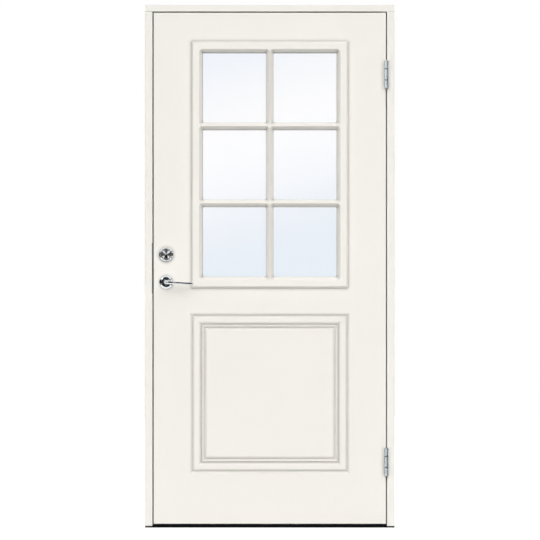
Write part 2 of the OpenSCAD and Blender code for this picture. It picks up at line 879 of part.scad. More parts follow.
// sealing tape between a glazing frame and the glass, with strips behind the bars
module gasket() {
    plate_y(y_out + lip, y_out + lip + gasket_t) {
        rect_ring(sight_w + 2 * 14, sight_h + 2 * 14, 11);
        for (i = [1 : 1 : panes_x - 1])
            translate([(i - panes_x / 2) * (pane_w + bar_w), aper_z])
                square([bar_tape, sight_h + 10], center = true);
        for (k = [1 : 1 : panes_z - 1])
            translate([0, aper_z + (k - panes_z / 2) * (pane_h + bar_w)])
                square([sight_w + 10, bar_tape], center = true);
    }
}

module outer_gasket() {
    color(rubber) gasket();
}

module inner_gasket() {
    color(rubber) inside() gasket();
}

module pane(y) {
    color(glass) plate_y(y, y + pane_t) translate([0, aper_z]) square([glass_w, glass_h], center = true);
}

module outer_pane() {
    pane(unit_y0);
}

module middle_pane() {
    pane(y_mid - pane_t / 2);
}

module inner_pane() {
    pane(unit_y1 - pane_t);
}

module outer_spacer() {
    color(dark_steel) plate_y(unit_y0 + pane_t, unit_y0 + pane_t + space_t)
        rect_ring(glass_w, glass_h, spacer_w);
}

module inner_spacer() {
    color(dark_steel) plate_y(unit_y1 - pane_t - space_t, unit_y1 - pane_t)
        rect_ring(glass_w, glass_h, spacer_w);
}

module setting_blocks() {
    z = aper_z - aper_h / 2;
    color(black) for (s = [-1, 1])
        block([s * block_x - block_w / 2, unit_y0, z], [s * block_x + block_w / 2, unit_y1, z + block_h]);
}

// openings in the faceplate and the case for the latch and the dead bolt
module bolt_ways(x0, x1) {
    w = bolt_thick / 2 + slide_fit;
    block([x0, y_mid - w, latch_z - latch_h / 2 - slide_fit],
        [x1, y_mid + w, latch_z + latch_h / 2 + slide_fit]);
    block([x0, y_mid - w, bolt_z - bolt_h / 2 - slide_fit],
        [x1, y_mid + w, bolt_z + bolt_h / 2 + slide_fit]);
}

module lock_case() {
    w = case_wall;
    color(steel) difference() {
        block([case_x0, case_y0, case_z0], [case_x1, cover_y, case_z1]);
        block([case_x0 + w, case_y0 + w, case_z0 + w], [case_x1 - w, cover_y + eps, case_z1 - w]);
        lock_holes(case_y0 - eps, case_y0 + w + eps);
        bolt_ways(case_x0 - eps, case_x0 + w + eps);
    }
}

module case_cover() {
    color(steel) difference() {
        block([case_x0, cover_y, case_z0], [case_x1, case_y1, case_z1]);
        lock_holes(cover_y - eps, case_y1 + eps);
        rod_y(lock_x, cyl_z, turn_d + 2 * slide_fit, cover_y - eps, case_y1 + eps);
    }
}

module at_faceplate_screws() {
    for (s = [-1, 1])
        translate([-leaf_x, y_mid, faceplate_zc + s * (faceplate_h / 2 - 9)])
            rotate([0, -90, 0]) children();
}

module faceplate() {
    color(steel) difference() {
        block([-leaf_x, y_mid - faceplate_w / 2, faceplate_zc - faceplate_h / 2],
            [-leaf_x + faceplate_t, y_mid + faceplate_w / 2, faceplate_zc + faceplate_h / 2]);
        bolt_ways(-leaf_x - eps, -leaf_x + faceplate_t + eps);
        at_faceplate_screws() screw_hole(lscrew_d, lscrew_l, lscrew_head, lscrew_head_h);
    }
}

module faceplate_screws() {
    color(steel) at_faceplate_screws() screw(lscrew_d, lscrew_l, lscrew_head, lscrew_head_h);
}

// the latch: bevelled head, with a tail that the follower's drive pin moves
module latch_bolt() {
    x_drive = lock_x - arm_r * sin(arm_start);
    z_pin = lever_z + arm_r * cos(arm_start);
    x_tip = -leaf_x - latch_out;
    y_bevel = y_mid + bolt_thick / 2 + 1;
    color(dark_steel) difference() {
        union() {
            block([x_tip, y_mid - bolt_thick / 2, latch_z - latch_h / 2],
                [-leaf_x + 14, y_mid + bolt_thick / 2, latch_z + latch_h / 2]);
            block([-leaf_x + 13, tail_y, latch_z - latch_h / 2], [x_drive + 7, tail_y + tail_t, latch_z]);
            block([x_drive - 7, tail_y, lever_z + hub_r + 0.6], [x_drive + 7, tail_y + tail_t, latch_z]);
        }
        bar_z(latch_z - latch_h, latch_z + latch_h)
            polygon([[x_tip - 1, y_mid - 3.8], [-leaf_x - 0.5, y_bevel], [x_tip - 1, y_bevel]]);
        block([x_drive - slot_w / 2, tail_y - eps, z_pin - drive_d / 2 - 0.5],
            [x_drive + slot_w / 2, tail_y + tail_t + eps, lever_z + arm_r + drive_d / 2 + 0.5]);
    }
}

// the hub that the spindle turns, with an arm and a drive pin for the latch
module follower() {
    color(dark_steel) difference() {
        translate([lock_x, 0, lever_z]) {
            rod_y(0, 0, 2 * hub_r, case_y0, case_y1);
            rotate([0, -arm_start, 0]) {
                block([-4.5, arm_y, 0], [4.5, arm_y + arm_t, arm_r]);
                rod_y(0, arm_r, 9, arm_y, arm_y + arm_t);
                rod_y(0, arm_r, drive_d, arm_y + 1, tail_y + tail_t + 0.5);
            }
        }
        spindle_block(case_y0 - eps, case_y1 + eps);
    }
}

module spindle_block(y0, y1) {
    s = spindle_w / 2;
    block([lock_x - s, y0, lever_z - s], [lock_x + s, y1, lever_z + s]);
}

module spindle() {
    color(steel) spindle_block(y_out - socket_deep, y_leaf + socket_deep);
}

// the dead bolt, with a tail that the cam's drive pin moves
module dead_bolt() {
    x_drive = lock_x + cam_r * cos(45);
    color(steel) difference() {
        union() {
            block([-leaf_x + bolt_in, y_mid - bolt_thick / 2, bolt_z - bolt_h / 2],
                [-leaf_x + 24, y_mid + bolt_thick / 2, bolt_z + bolt_h / 2]);
            block([-leaf_x + 23, tail_y, bolt_z - 8], [x_drive + 6.5, tail_y + tail_t, bolt_z + 6]);
            block([x_drive - 6.5, tail_y, bolt_z - 8],
                [x_drive + 6.5, tail_y + tail_t, cyl_z - turn_d / 2 - 0.5]);
        }
        block([x_drive - slot_w / 2, tail_y - eps, cyl_z - cam_r - drive_d / 2 - 0.5],
            [x_drive + slot_w / 2, tail_y + tail_t + eps, cyl_z - cam_r * sin(45) + drive_d / 2 + 0.5]);
    }
}

// the cam on the thumb turn's shaft, with its drive pin
module bolt_cam() {
    color(dark_steel) difference() {
        translate([lock_x, 0, cyl_z]) rotate([0, 45, 0]) {
            rod_y(0, 0, 16, arm_y, arm_y + arm_t);
            block([0, arm_y, -4], [cam_r, arm_y + arm_t, 4]);
            rod_y(cam_r, 0, 8, arm_y, arm_y + arm_t);
            rod_y(cam_r, 0, drive_d, arm_y + 1, tail_y + tail_t + 0.5);
        }
        rod_y(lock_x, cyl_z, turn_d - 2 + 2 * run_fit, arm_y - eps, arm_y + arm_t + eps);
    }
}

// the knob inside, with the shaft that carries the cam
module thumb_turn() {
    y0 = y_leaf + rose_h;
    color(chrome) {
        rod_y(lock_x, cyl_z, turn_d - 2, arm_y, arm_y + arm_t + 0.5);
        rod_y(lock_x, cyl_z, turn_d, arm_y + arm_t, y0 + 4);
        rod_y(lock_x, cyl_z, 20, y0 + 0.5, y0 + 5);
        plate_y(y0 + 4, y0 + turn_grip_out) translate([lock_x, cyl_z]) {
            square([turn_grip_w, turn_grip_h - turn_grip_w], center = true);
            for (s = [-1, 1]) translate([0, s * (turn_grip_h - turn_grip_w) / 2]) circle(d = turn_grip_w);
        }
    }
}

// section of a rose: vertical foot, bevelled rim, shallow dish, hole for the neck
module rose_section(d, h, hole) {
    polygon([[hole / 2, 0], [d / 2, 0], [d / 2, 2.5], [d / 2 - 1, 4], [d / 2 - 4.5, h - 0.6], [d / 2 - 6, h],
        [hole / 2 + 3, h - 1], [hole / 2, h - 1]]);
}

module outer_rose() {
    color(chrome) turned_y(lock_x, y_out, lever_z) rose_section(rose_d, rose_h, neck_hole);
}

module inner_rose() {
    color(chrome) inside() turned_y(lock_x, y_out, lever_z) rose_section(rose_d, rose_h, neck_hole);
}

module turn_rose() {
    color(chrome) inside() turned_y(lock_x, y_out, cyl_z)
        rose_section(ring_d, rose_h, turn_d + 2 * slide_fit);
}

// the bevelled ring round the cylinder outside
module cylinder_ring() {
    hole = cylinder_d / 2 + slide_fit;
    color(chrome) turned_y(lock_x, y_out, cyl_z) polygon([[hole, 0], [ring_d / 2, 0], [ring_d / 2, 2.5],
        [ring_d / 2 - 1, ring_h * 0.55], [ring_d / 2 - 2.2, ring_h - 0.5], [ring_d / 2 - 3, ring_h],
        [ring_d / 2 - 4, ring_h], [hole, ring_h - 2.3]]);
}

module cylinder_body() {
    color(steel) difference() {
        union() {
            turned_y(lock_x, y_out, cyl_z) polygon([[0, 0], [cylinder_d / 2, 0],
                [cylinder_d / 2, ring_h - 2.4], [cylinder_d / 2 - 1, ring_h - 1.6],
                [plug_drop + plug_d / 2 + 1.5, ring_h - 4], [0, ring_h - 4]]);
            rod_y(lock_x, cyl_z, stem_d, y_out - eps, case_y0);
        }
        rod_y(lock_x, plug_z, plug_d + 2 * run_fit, y_out - ring_h - eps, case_y0 + eps);
    }
}

module key_plug() {
    color(brass) difference() {
        rod_y(lock_x, plug_z, plug_d, y_out - ring_h + 4.4, case_y0);
        block([lock_x - 1.1, y_out - ring_h, plug_z - 4.5], [lock_x + 1.1, case_y0 - 4, plug_z + 4]);
    }
}

// a lever on the outside: neck, flared collar, bend, tapering grip with a slightly swollen end
module lever() {
    bend_y = y_out - grip_out + elbow_r;
    collar_y = y_out - rose_h - 0.5;
    grip_l = lever_reach - tip_d / 2 - elbow_r;
    difference() {
        translate([lock_x, 0, lever_z]) rotate([0, lever_droop, 0]) {
            rod_y(0, 0, neck_d, collar_y - collar_h, y_out - 1);
            rod_y(0, 0, collar_d, collar_y - collar_h, collar_y);
            translate([0, collar_y - collar_h, 0]) rotate([90, 0, 0])
                cylinder(d1 = collar_d, d2 = elbow_d, h = collar_y - collar_h - bend_y);
            translate([elbow_r, bend_y, 0]) rotate([0, 0, 180]) rotate_extrude(angle = 90)
                translate([elbow_r, 0]) circle(d = elbow_d);
            translate([elbow_r, bend_y - elbow_r, 0]) rotate([0, 90, 0]) {
                cylinder(d1 = elbow_d, d2 = bar_d, h = taper_l);
                translate([0, 0, taper_l]) cylinder(d1 = bar_d, d2 = waist_d, h = grip_l - 2 * taper_l);
                translate([0, 0, grip_l - taper_l]) cylinder(d1 = waist_d, d2 = tip_d, h = taper_l);
                translate([0, 0, grip_l]) sphere(d = tip_d);
            }
        }
        spindle_block(y_out - socket_deep, y_out + eps);
        grub_hole();
    }
}

module grub_hole() {
    translate([lock_x, y_out - grub_y, lever_z - collar_d / 2 - eps])
        cylinder(d = grub_d + 2 * screw_fit, h = collar_d / 2 + eps - spindle_w / 4);
}

module outer_lever() {
    color(chrome) lever();
}

module inner_lever() {
    color(chrome) inside() lever();
}

module grub_screw() {
    translate([lock_x, y_out - grub_y, lever_z - neck_d / 2 + 1])
        cylinder(d = grub_d, h = neck_d / 2 - 1 - spindle_w / 2);
}

module grub_screws() {
    color(dark_steel) {
        grub_screw();
        inside() grub_screw();
    }
}

frame_head();
lock_jamb();
hinge_jamb();
threshold();
threshold_rail();
head_seal();
lock_jamb_seal();
hinge_jamb_seal();
threshold_seal();
strike_plate();
strike_screws();
corner_screws();
upper_frame_hinge();
lower_frame_hinge();
hinge_pins();
hinge_washers();
frame_hinge_screws();
outer_skin();
inner_skin();
lock_stile();
hinge_stile();
top_rail();
bottom_rail();
aperture_lining();
insulation_core();
outer_glazing_frame();
inner_glazing_frame();
outer_gasket();
inner_gasket();
outer_pane();
middle_pane();
inner_pane();
outer_spacer();
inner_spacer();
setting_blocks();
glazing_screws();
upper_door_hinge();
lower_door_hinge();
door_hinge_screws();
lock_case();
case_cover();
faceplate();
faceplate_screws();
outer_rose();
inner_rose();
cylinder_ring();
cylinder_body();
turn_rose();
outer_lever();
inner_lever();
spindle();
follower();
grub_screws();
latch_bolt();
dead_bolt();
thumb_turn();
bolt_cam();
key_plug();
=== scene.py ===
"""Panelled front door in its frame: finishes for the joinery, turned and bent hardware, a plain studio."""

import math

import bmesh
import bpy
from bpy.props import FloatProperty, FloatVectorProperty, PointerProperty
from bpy.types import Operator, Panel, PropertyGroup
from mathutils import Matrix, Vector


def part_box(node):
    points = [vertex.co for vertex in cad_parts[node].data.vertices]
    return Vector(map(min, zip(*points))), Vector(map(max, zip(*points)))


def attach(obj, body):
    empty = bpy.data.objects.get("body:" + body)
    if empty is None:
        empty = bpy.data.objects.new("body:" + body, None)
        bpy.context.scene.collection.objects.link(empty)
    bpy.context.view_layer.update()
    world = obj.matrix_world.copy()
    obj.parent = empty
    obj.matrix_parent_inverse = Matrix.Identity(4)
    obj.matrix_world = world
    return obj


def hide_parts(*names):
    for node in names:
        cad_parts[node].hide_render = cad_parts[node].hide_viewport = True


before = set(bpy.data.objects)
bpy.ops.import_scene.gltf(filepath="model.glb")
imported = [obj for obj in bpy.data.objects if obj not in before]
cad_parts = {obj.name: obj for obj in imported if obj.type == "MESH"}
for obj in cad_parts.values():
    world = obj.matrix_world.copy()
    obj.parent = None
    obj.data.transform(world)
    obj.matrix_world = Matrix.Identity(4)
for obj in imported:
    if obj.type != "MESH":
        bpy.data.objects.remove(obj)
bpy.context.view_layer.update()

bl_info = {
    "name": "Panelled front door",
    "version": (1, 0, 0),
    "blender": (4, 5, 0),
    "location": "3D View > Sidebar > Door",
    "description": "Finishes and hardware for a panelled front door in its frame",
    "category": "Object",
}

MM = 0.001

# Paint
# where the outer faces of leaf and jamb lie, and where the strip without painted corner shade begins, in
# metres
OUTER_FACE = max(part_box("hinge_jamb")[0].y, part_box("outer_skin")[0].y)
STRIP_START, STRIP_FULL = 0.43, 0.45
# how the painted corner shade darkens the paint's red, green and blue
CORNER_SHADE = (0.3, 0.295, 0.285)
# how many rays feel for corners, for the painted corner shade in the paint and in the zinc
AO_SAMPLES = 12

# Hardware
# sides of a turned piece, and of a loop that is drawn on
TURN_STEPS = 72
LOOP_STEPS = 64
# points nearer than this are one point, and points nearer than this to an axis lie level with it
WELD, LEVEL = 0.002 * MM, 0.01 * MM
# folds over the first angle are rounded on turned pieces, and folds over the second one look sharp
ROUNDED_FOLD = math.radians(20)
SHARP_FOLD = math.radians(32)

# Lever, in millimetres
# how far its foot is from the leaf, and the foot's radius
LEVER_FOOT, FOOT_RADIUS = 1.0, 10
# the spindle's socket
SOCKET_RADIUS, SOCKET_DEPTH = 6.2, 23
# the collar: distance from the leaf, radius
COLLAR = ((8.9, 10.0), (9.5, 10.3), (9.5, 11.6), (9.9, 12.0), (11.3, 12.0), (11.9, 11.8))
# how fast the neck narrows beyond the collar
NECK_CURVE = 1.7
# radius of the grip after the bend and at its thinnest
GRIP_RADIUS, THIN_RADIUS = 7.3, 5.2
# shares of the grip's length at which it is thinnest, and from which it swells towards the tip
THIN_AT, SWELLS_FROM = 0.36, 0.55
NECK_STEPS, BEND_STEPS, GRIP_STEPS, TIP_STEPS = 20, 16, 24, 9
# the grub screw's hole: distance from the leaf, radius, depth
GRUB_PLACE, GRUB_RADIUS, GRUB_DEPTH = 15, 2.75, 4.6
# faces this near to the hole's axis, and this far below the lever's, are cut away for it
GRUB_NEAR, GRUB_BELOW = 2.4, 9

# Cylinder body, in millimetres
# radius inside the leaf, room round the key plug
BODY_RADIUS, PLUG_ROOM = 16, 0.05
# height and width of its chamfer, depth of its dished face and width of the rim round that
CHAMFER_HEIGHT, CHAMFER_WIDTH, DISH_DEPTH, DISH_RIM = 0.9, 1.1, 1.1, 2.4

# Thumb turn, in millimetres
# radius of its shaft, and the step on that as distance from the shaft's end, radius
SHAFT_RADIUS = 4
SHAFT = ((4, 4), (4, 5))
# its gap to the rose; flange and waist as distance from there, radius; where the grip begins
FLANGE_GAP = 0.5
FLANGE = ((0, 5), (0, 9.4), (0.6, 10), (3.4, 10), (4.1, 9.7), (4.5, 9), (4.6, 6.6), (5, 5.6), (5.8, 5.2))
GRIP_START = 8.5
# the rounding of the grip: distance from its outer end, distance in from its sides
GRIP_EDGE = ((2.6, 0), (1.6, 0.3), (0.8, 0.9), (0.25, 1.8), (0, 3))

# Stage
# strength of the surroundings on matt surfaces, and of the white that the eye sees on the floor
FILL = 0.06
FLOOR_GLOW = 0.5
# how much of its colour the floor keeps as a matt tone
FLOOR_SHADE = 0.8
# half the floor's width in metres
FLOOR_REACH = 15
# lamps: strength, apparent size, turn to the right of the front, height, in degrees
LIGHTS = (
    ("right_key", 1.51, 50, 17, 34),
    ("left_key", 1.13, 50, -17, 34),
    ("right_rim", 0.9, 25, 146, 28),
    ("left_rim", 0.9, 25, -146, 28),
    ("back_key", 0.75, 25, 180, 28),
)
# small lamps that only shiny things show
GLINTS = (
    ("right_glint", 4.6, 8, 31, 27),
    ("left_glint", 4.6, 8, -31, 27),
)
# camera: width of the view at the door and distance from it in metres, sensor in millimetres
VIEW_WIDTH, VIEW_DISTANCE, SENSOR = 2.138, 20.0, 36
# what it looks at, and how far it sees, in metres
VIEW_CENTRE = (0.001, -0.0525, 1.020)
VIEW_END = 100

# Cards
# tones along a direction, whose length is what a metre adds to the place in the run of tones
SKY_SLOPE = (-0.2545, -0.303, 0.909)
UPWARDS = (0.0, 0.0, 0.4)
# behind the glass: pale blue below, white across the middle, paler blue above
SKY_TONES = (
    (0.073, "E3ECF6"),
    (0.218, "EAEFF8"),
    (0.307, "F0F4FA"),
    (0.394, "F7F8FD"),
    (0.541, "FCFDFF"),
    (0.618, "FDFDFF"),
    (0.709, "FBFBFD"),
    (0.859, "F3F6FB"),
    (0.94, "EEF2FA"),
)
WHITE_TONES = ((0.0, "FFFFFF"), (1.0, "FFFFFF"))
GREY_TONES = ((0.0, "2A2A2B"), (1.0, "383839"))
DARK_TONES = ((0.0, "1A1A1B"), (1.0, "262627"))
# cards: name and two opposite corners in metres
SKY_CARD = ("sky_card", (-3, 3, -1), (3, 3, 4.5))
# before the glass, which reflects it
WHITE_CARD = ("white_card", (-0.275, -0.5, 0.985), (0.275, -0.5, 1.905))
# before, above, below and behind the lock's metal, which they give its dark bands
GREY_CARDS = (
    ("front_card", (-2.3, -3.1, -0.6), (0.2, -3.1, 3.2)),
    ("lock_card", (0.2, -3.1, 0.36), (1.5, -3.1, 1.7)),
    ("upper_lever_card", (0.2, -3.1, 2.05), (0.8, -3.1, 3.2)),
    ("lower_lever_card", (0.2, -3.1, -0.6), (0.8, -3.1, 0.05)),
    ("high_card", (-2.3, -3.1, 3.2), (0.3, -0.95, 3.2)),
    ("inside_card", (-1.7, 2.8, -0.6), (-0.33, 2.8, 3.2)),
    ("low_card", (-2.3, -3.0, 0.3), (0.3, -0.9, 0.3)),
)
# beside the lock's metal and the hinges
DARK_CARDS = (
    ("left_card", (-2.4, -3.0, 0.5), (-2.4, -0.9, 1.6)),
    ("tall_card", (-2.4, -0.9, -0.1), (-2.4, -0.33, 2.0)),
    ("side_card", (-2.4, -0.33, 0.6), (-2.4, 0, 1.56)),
    ("upper_hinge_card", (1.0, -1.35, 1.7), (1.0, -0.12, 2.0)),
    ("lower_hinge_card", (1.0, -1.35, 0.06), (1.0, -0.12, 0.36)),
    ("right_card", (2.4, -3.0, 0.4), (2.4, 0, 1.75)),
)


def linear(hex_colour):
    """An sRGB hex value as a linear colour with full alpha."""
    parts = [int(hex_colour[i : i + 2], 16) / 255 for i in (0, 2, 4)]
    return tuple(p / 12.92 if p <= 0.04045 else ((p + 0.055) / 1.055) ** 2.4 for p in parts) + (1.0,)


def shade(base, red, green=None, blue=None):
    """A colour made darker or paler by a factor, or by one for each of red, green and blue."""
    factors = (red, red if green is None else green, red if blue is None else blue)
    return tuple(min(1.0, c * factor) for c, factor in zip(base[:3], factors)) + (1.0,)


WHITE = linear("FFFFFF")


def colour(name, description, hex_colour):
    """A colour that a user can change in the sidebar."""
    return FloatVectorProperty(
        name=name, description=description, default=linear(hex_colour), subtype="COLOR", size=4, min=0, max=1
    )


def length(name, description, millimetres):
    """A length that a user can change in the sidebar."""
    return FloatProperty(name=name, description=description, default=millimetres * MM, unit="LENGTH", min=0)


def angle(name, description, degrees):
    """An angle that a user can change in the sidebar."""
    return FloatProperty(
        name=name, description=description, default=math.radians(degrees), subtype="ANGLE", unit="ROTATION"
    )


class DoorColours(PropertyGroup):
    """Colours of the door's finishes."""

    paint: colour("Paint", "Satin paint on the joinery", "F3F0E9")
    threshold: colour("Threshold", "Black oil stain on the hardwood threshold", "070708")
    seal: colour("Seals", "Rubber of the seals and gaskets", "2A2A2B")
    zinc: colour("Zinc", "Plating on the hinges and screws", "DCE5EA")
    # painted shade: this plate's dark grey stands in for the shade of the gap beside the lock
    grey_plate: colour("Grey plate", "Dark plating on the strike plate and latch", "6E6E6D")
    chrome: colour("Chrome", "Plating on levers, roses, ring and thumb turn", "E4E6E8")
    nickel: colour("Nickel", "Turned face of the lock cylinder", "7E7F80")
    # painted shade: the brass is darker than the metal itself, standing in for the shade in the key plug's
    # recess
    brass: colour("Brass", "Key plug and hinge washers", "33230D")
    aluminium: colour("Aluminium", "Anodised threshold rail", "C9CBCD")
    glass: colour("Glass", "Float glass seen through", "FFFFFF")
    floor: colour("Floor", "Studio floor", "F6F6F6")


class DoorSizes(PropertyGroup):
    """Sizes of the hardware's details."""

    edge: length("Edge", "Softened edges of turned parts", 0.6)
    elbow: length("Bend", "Radius of the bend in a lever", 16)
    elbow_size: length("Bend thickness", "Thickness of a lever at its bend", 17)
    tip: length("Tip", "Radius of a lever's rounded end", 5.8)
    turn_grip: length("Turn grip", "Thickness of the thumb turn's grip", 12)
    droop: angle("Droop", "Fall of a lever's grip", 3.5)


# finishes by name
MATERIALS = {}


def feed(tree, node, sockets):
    """Sets a node's inputs to values, or links them to other nodes' outputs."""
    for name, value in sockets.items():
        if isinstance(value, bpy.types.NodeSocket):
            tree.links.new(value, node.inputs[name])
        else:
            node.inputs[name].default_value = value


def add(tree, kind, sockets=None, **settings):
    """Adds one node with its settings and inputs. A colour Mix takes its colours on inputs 6 and 7, and gives
    them mixed on output 2."""
    node = tree.nodes.new("ShaderNode" + kind)
    for name, value in settings.items():
        setattr(node, name, value)
    feed(tree, node, sockets or {})
    return node


def finish_named(name):
    """A material of that name with one surface shader, and its node tree."""
    made = bpy.data.materials.new(name)
    made.use_nodes = True
    MATERIALS[name] = made
    tree = made.node_tree
    return made, tree, tree.nodes["Principled BSDF"]


def per_m(millimetres):
    """A texture's scale for a feature of that size."""
    return 1 / (millimetres * MM)


def satin_paint(name, base):
    """Sprayed satin acrylic on moulded board and planed wood: even, with painted shade that greys it in
    corners and grooves, and a faint spray stipple in the sheen. The stipple is drawn at 6 mm, because the
    real 1 mm one is finer than a pixel."""
    made, tree, shader = finish_named(name)
    where = add(tree, "TexCoord").outputs["Object"]
    cloud = add(tree, "TexNoise", {"Vector": where, "Scale": per_m(350), "Detail": 2.0}).outputs["Fac"]
    grit = {"Vector": where, "Scale": per_m(6), "Detail": 3.0, "Roughness": 0.6}
    stipple = add(tree, "TexNoise", grit).outputs["Fac"]
    # painted shade: the paint turns greyer where ambient occlusion finds a corner or groove
    corner = add(tree, "AmbientOcclusion", {"Distance": 14 * MM}, samples=AO_SAMPLES).outputs["AO"]
    open_air = add(tree, "MapRange", {"Value": corner, "From Min": 0.4, "From Max": 1.0}).outputs["Result"]
    # the painted corner shade is left off the strip that the hinges stand on, less so down in the gap between
    # leaf and jamb
    place = add(tree, "SeparateXYZ", {0: where}).outputs
    depth = {"Value": place["Y"], "From Min": OUTER_FACE + 1 * MM, "From Max": OUTER_FACE + 4 * MM}
    reached = add(tree, "MapRange", {**depth, "To Min": 1.0, "To Max": 0.75}).outputs["Result"]
    strip = {"Value": place["X"], "From Min": STRIP_START, "From Max": STRIP_FULL, "To Max": reached}
    unshaded_strip = add(tree, "MapRange", strip).outputs["Result"]
    shade_free = add(tree, "Math", {0: open_air, 1: unshaded_strip}, operation="MAXIMUM").outputs[0]
    even = add(tree, "Mix", {0: cloud, 6: base, 7: shade(base, 0.985)}, data_type="RGBA").outputs[2]
    tone = add(tree, "Mix", {0: shade_free, 6: shade(base, *CORNER_SHADE), 7: even}, data_type="RGBA").outputs[2]
    sheen = add(tree, "MapRange", {"Value": stipple, "To Min": 0.36, "To Max": 0.48}).outputs["Result"]
    relief = add(tree, "Bump", {"Height": stipple, "Strength": 0.12, "Distance": 0.15 * MM}).outputs["Normal"]
    feed(tree, shader, {"Base Color": tone, "Roughness": sheen, "Normal": relief})
    feed(tree, shader, {"IOR": 1.48, "Specular IOR Level": 0.2})
    return made


def open_grained_wood(name, base):
    """Planed or oiled wood: dull, with long paler pores along X that catch a little light, near black where
    it is stained."""
    made, tree, shader = finish_named(name)
    where = add(tree, "TexCoord").outputs["Object"]
    along = add(tree, "Mapping", {"Vector": where, "Scale": (0.04, 1.0, 1.0)}).outputs["Vector"]
    grain = add(tree, "TexNoise", {"Vector": along, "Scale": per_m(3), "Detail": 5.0}).outputs["Fac"]
    tone = add(tree, "Mix", {0: grain, 6: base, 7: shade(base, 2.2)}, data_type="RGBA").outputs[2]
    sheen = add(tree, "MapRange", {"Value": grain, "To Min": 0.68, "To Max": 0.85}).outputs["Result"]
    relief = add(tree, "Bump", {"Height": grain, "Strength": 0.3, "Distance": 0.2 * MM}).outputs["Normal"]
    feed(tree, shader, {"Base Color": tone, "Roughness": sheen, "Normal": relief, "Specular IOR Level": 0.03})
    return made


def extruded_rubber(name, base):
    """Rubber or plastic from a die: matt, with a slight pale bloom in patches."""
    made, tree, shader = finish_named(name)
    where = add(tree, "TexCoord").outputs["Object"]
    bloom = add(tree, "TexNoise", {"Vector": where, "Scale": per_m(25), "Detail": 3.0}).outputs["Fac"]
    tone = add(tree, "Mix", {0: bloom, 6: base, 7: shade(base, 1.35)}, data_type="RGBA").outputs[2]
    sheen = add(tree, "MapRange", {"Value": bloom, "To Min": 0.7, "To Max": 0.85}).outputs["Result"]
    feed(tree, shader, {"Base Color": tone, "Roughness": sheen})
    return made


def finished_metal(name, base, smooth, rough, spot, shade_reach=0):
    """Plated, anodised or polished metal: it reflects, its gloss wanders from smooth to rough in patches of
    the given size, and it is painted darker within the given reach of a corner, as painted shade."""
    made, tree, shader = finish_named(name)
    where = add(tree, "TexCoord").outputs["Object"]
    patch = add(tree, "TexNoise", {"Vector": where, "Scale": per_m(spot), "Detail": 3.0}).outputs["Fac"]
    tone = add(tree, "Mix", {0: patch, 6: base, 7: shade(base, 0.9)}, data_type="RGBA").outputs[2]
    if shade_reach:
        # painted shade: the metal turns dark where ambient occlusion finds a corner
        corner = add(tree, "AmbientOcclusion", {"Distance": shade_reach * MM}, samples=AO_SAMPLES).outputs["AO"]
        open_air = {"Value": corner, "From Min": 0.78, "From Max": 0.99}
        bright = add(tree, "MapRange", open_air).outputs["Result"]
        tone = add(tree, "Mix", {0: bright, 6: shade(base, 0.16), 7: tone}, data_type="RGBA").outputs[2]
    sheen = add(tree, "MapRange", {"Value": patch, "To Min": smooth, "To Max": rough}).outputs["Result"]
    feed(tree, shader, {"Base Color": tone, "Roughness": sheen, "Metallic": 1.0})
    return made


def turned_metal(name, base, centre):
    """Nickel faced on a lathe: fine rings round an axis along Y, which spread a highlight out along the
    radius. They are drawn at 0.8 mm, because the real 0.1 mm rings are finer than a pixel."""
    made, tree, shader = finish_named(name)
    where = add(tree, "TexCoord").outputs["Object"]
    arm = add(tree, "VectorMath", {0: where, 1: tuple(centre)}, operation="SUBTRACT").outputs[0]
    flat = add(tree, "VectorMath", {0: arm, 1: (1.0, 0.0, 1.0)}, operation="MULTIPLY").outputs[0]
    radius = add(tree, "VectorMath", {0: flat}, operation="LENGTH").outputs["Value"]
    cuts = {"W": radius, "Scale": per_m(0.8), "Detail": 2.0}
    rings = add(tree, "TexNoise", cuts, noise_dimensions="1D").outputs["Fac"]
    along = add(tree, "VectorMath", {0: flat, 1: (0.0, 1.0, 0.0)}, operation="CROSS_PRODUCT").outputs[0]
    tone = add(tree, "Mix", {0: rings, 6: base, 7: shade(base, 0.8)}, data_type="RGBA").outputs[2]
    sheen = add(tree, "MapRange", {"Value": rings, "To Min": 0.38, "To Max": 0.46}).outputs["Result"]
    feed(tree, shader, {"Base Color": tone, "Roughness": sheen, "Metallic": 1.0})
    feed(tree, shader, {"Tangent": along, "Anisotropic": 0.96})
    return made


def float_glass(name, base):
    """Float glass: clear, with mirror-like faces that ripple very faintly."""
    made, tree, shader = finish_named(name)
    where = add(tree, "TexCoord").outputs["Object"]
    ripple = add(tree, "TexNoise", {"Vector": where, "Scale": per_m(300), "Detail": 1.0}).outputs["Fac"]
    relief = add(tree, "Bump", {"Height": ripple, "Strength": 0.05, "Distance": 0.05 * MM}).outputs["Normal"]
    feed(tree, shader, {"Base Color": base, "Roughness": 0.0, "Normal": relief})
    feed(tree, shader, {"IOR": 1.5, "Transmission Weight": 1.0})
    return made


def closed_cell_foam(name, base):
    """Polyurethane foam: pale, dry and finely pitted."""
    made, tree, shader = finish_named(name)
    where = add(tree, "TexCoord").outputs["Object"]
    cell = add(tree, "TexVoronoi", {"Vector": where, "Scale": per_m(4)}).outputs["Distance"]
    relief = add(tree, "Bump", {"Height": cell, "Strength": 0.5, "Distance": 0.5 * MM}).outputs["Normal"]
    feed(tree, shader, {"Base Color": base, "Roughness": 0.9, "Normal": relief})
    return made


def dress(material, *nodes):
    """Gives CAD nodes their finish."""
    for name in nodes:
        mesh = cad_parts[name].data
        mesh.materials.clear()
        mesh.materials.append(material)


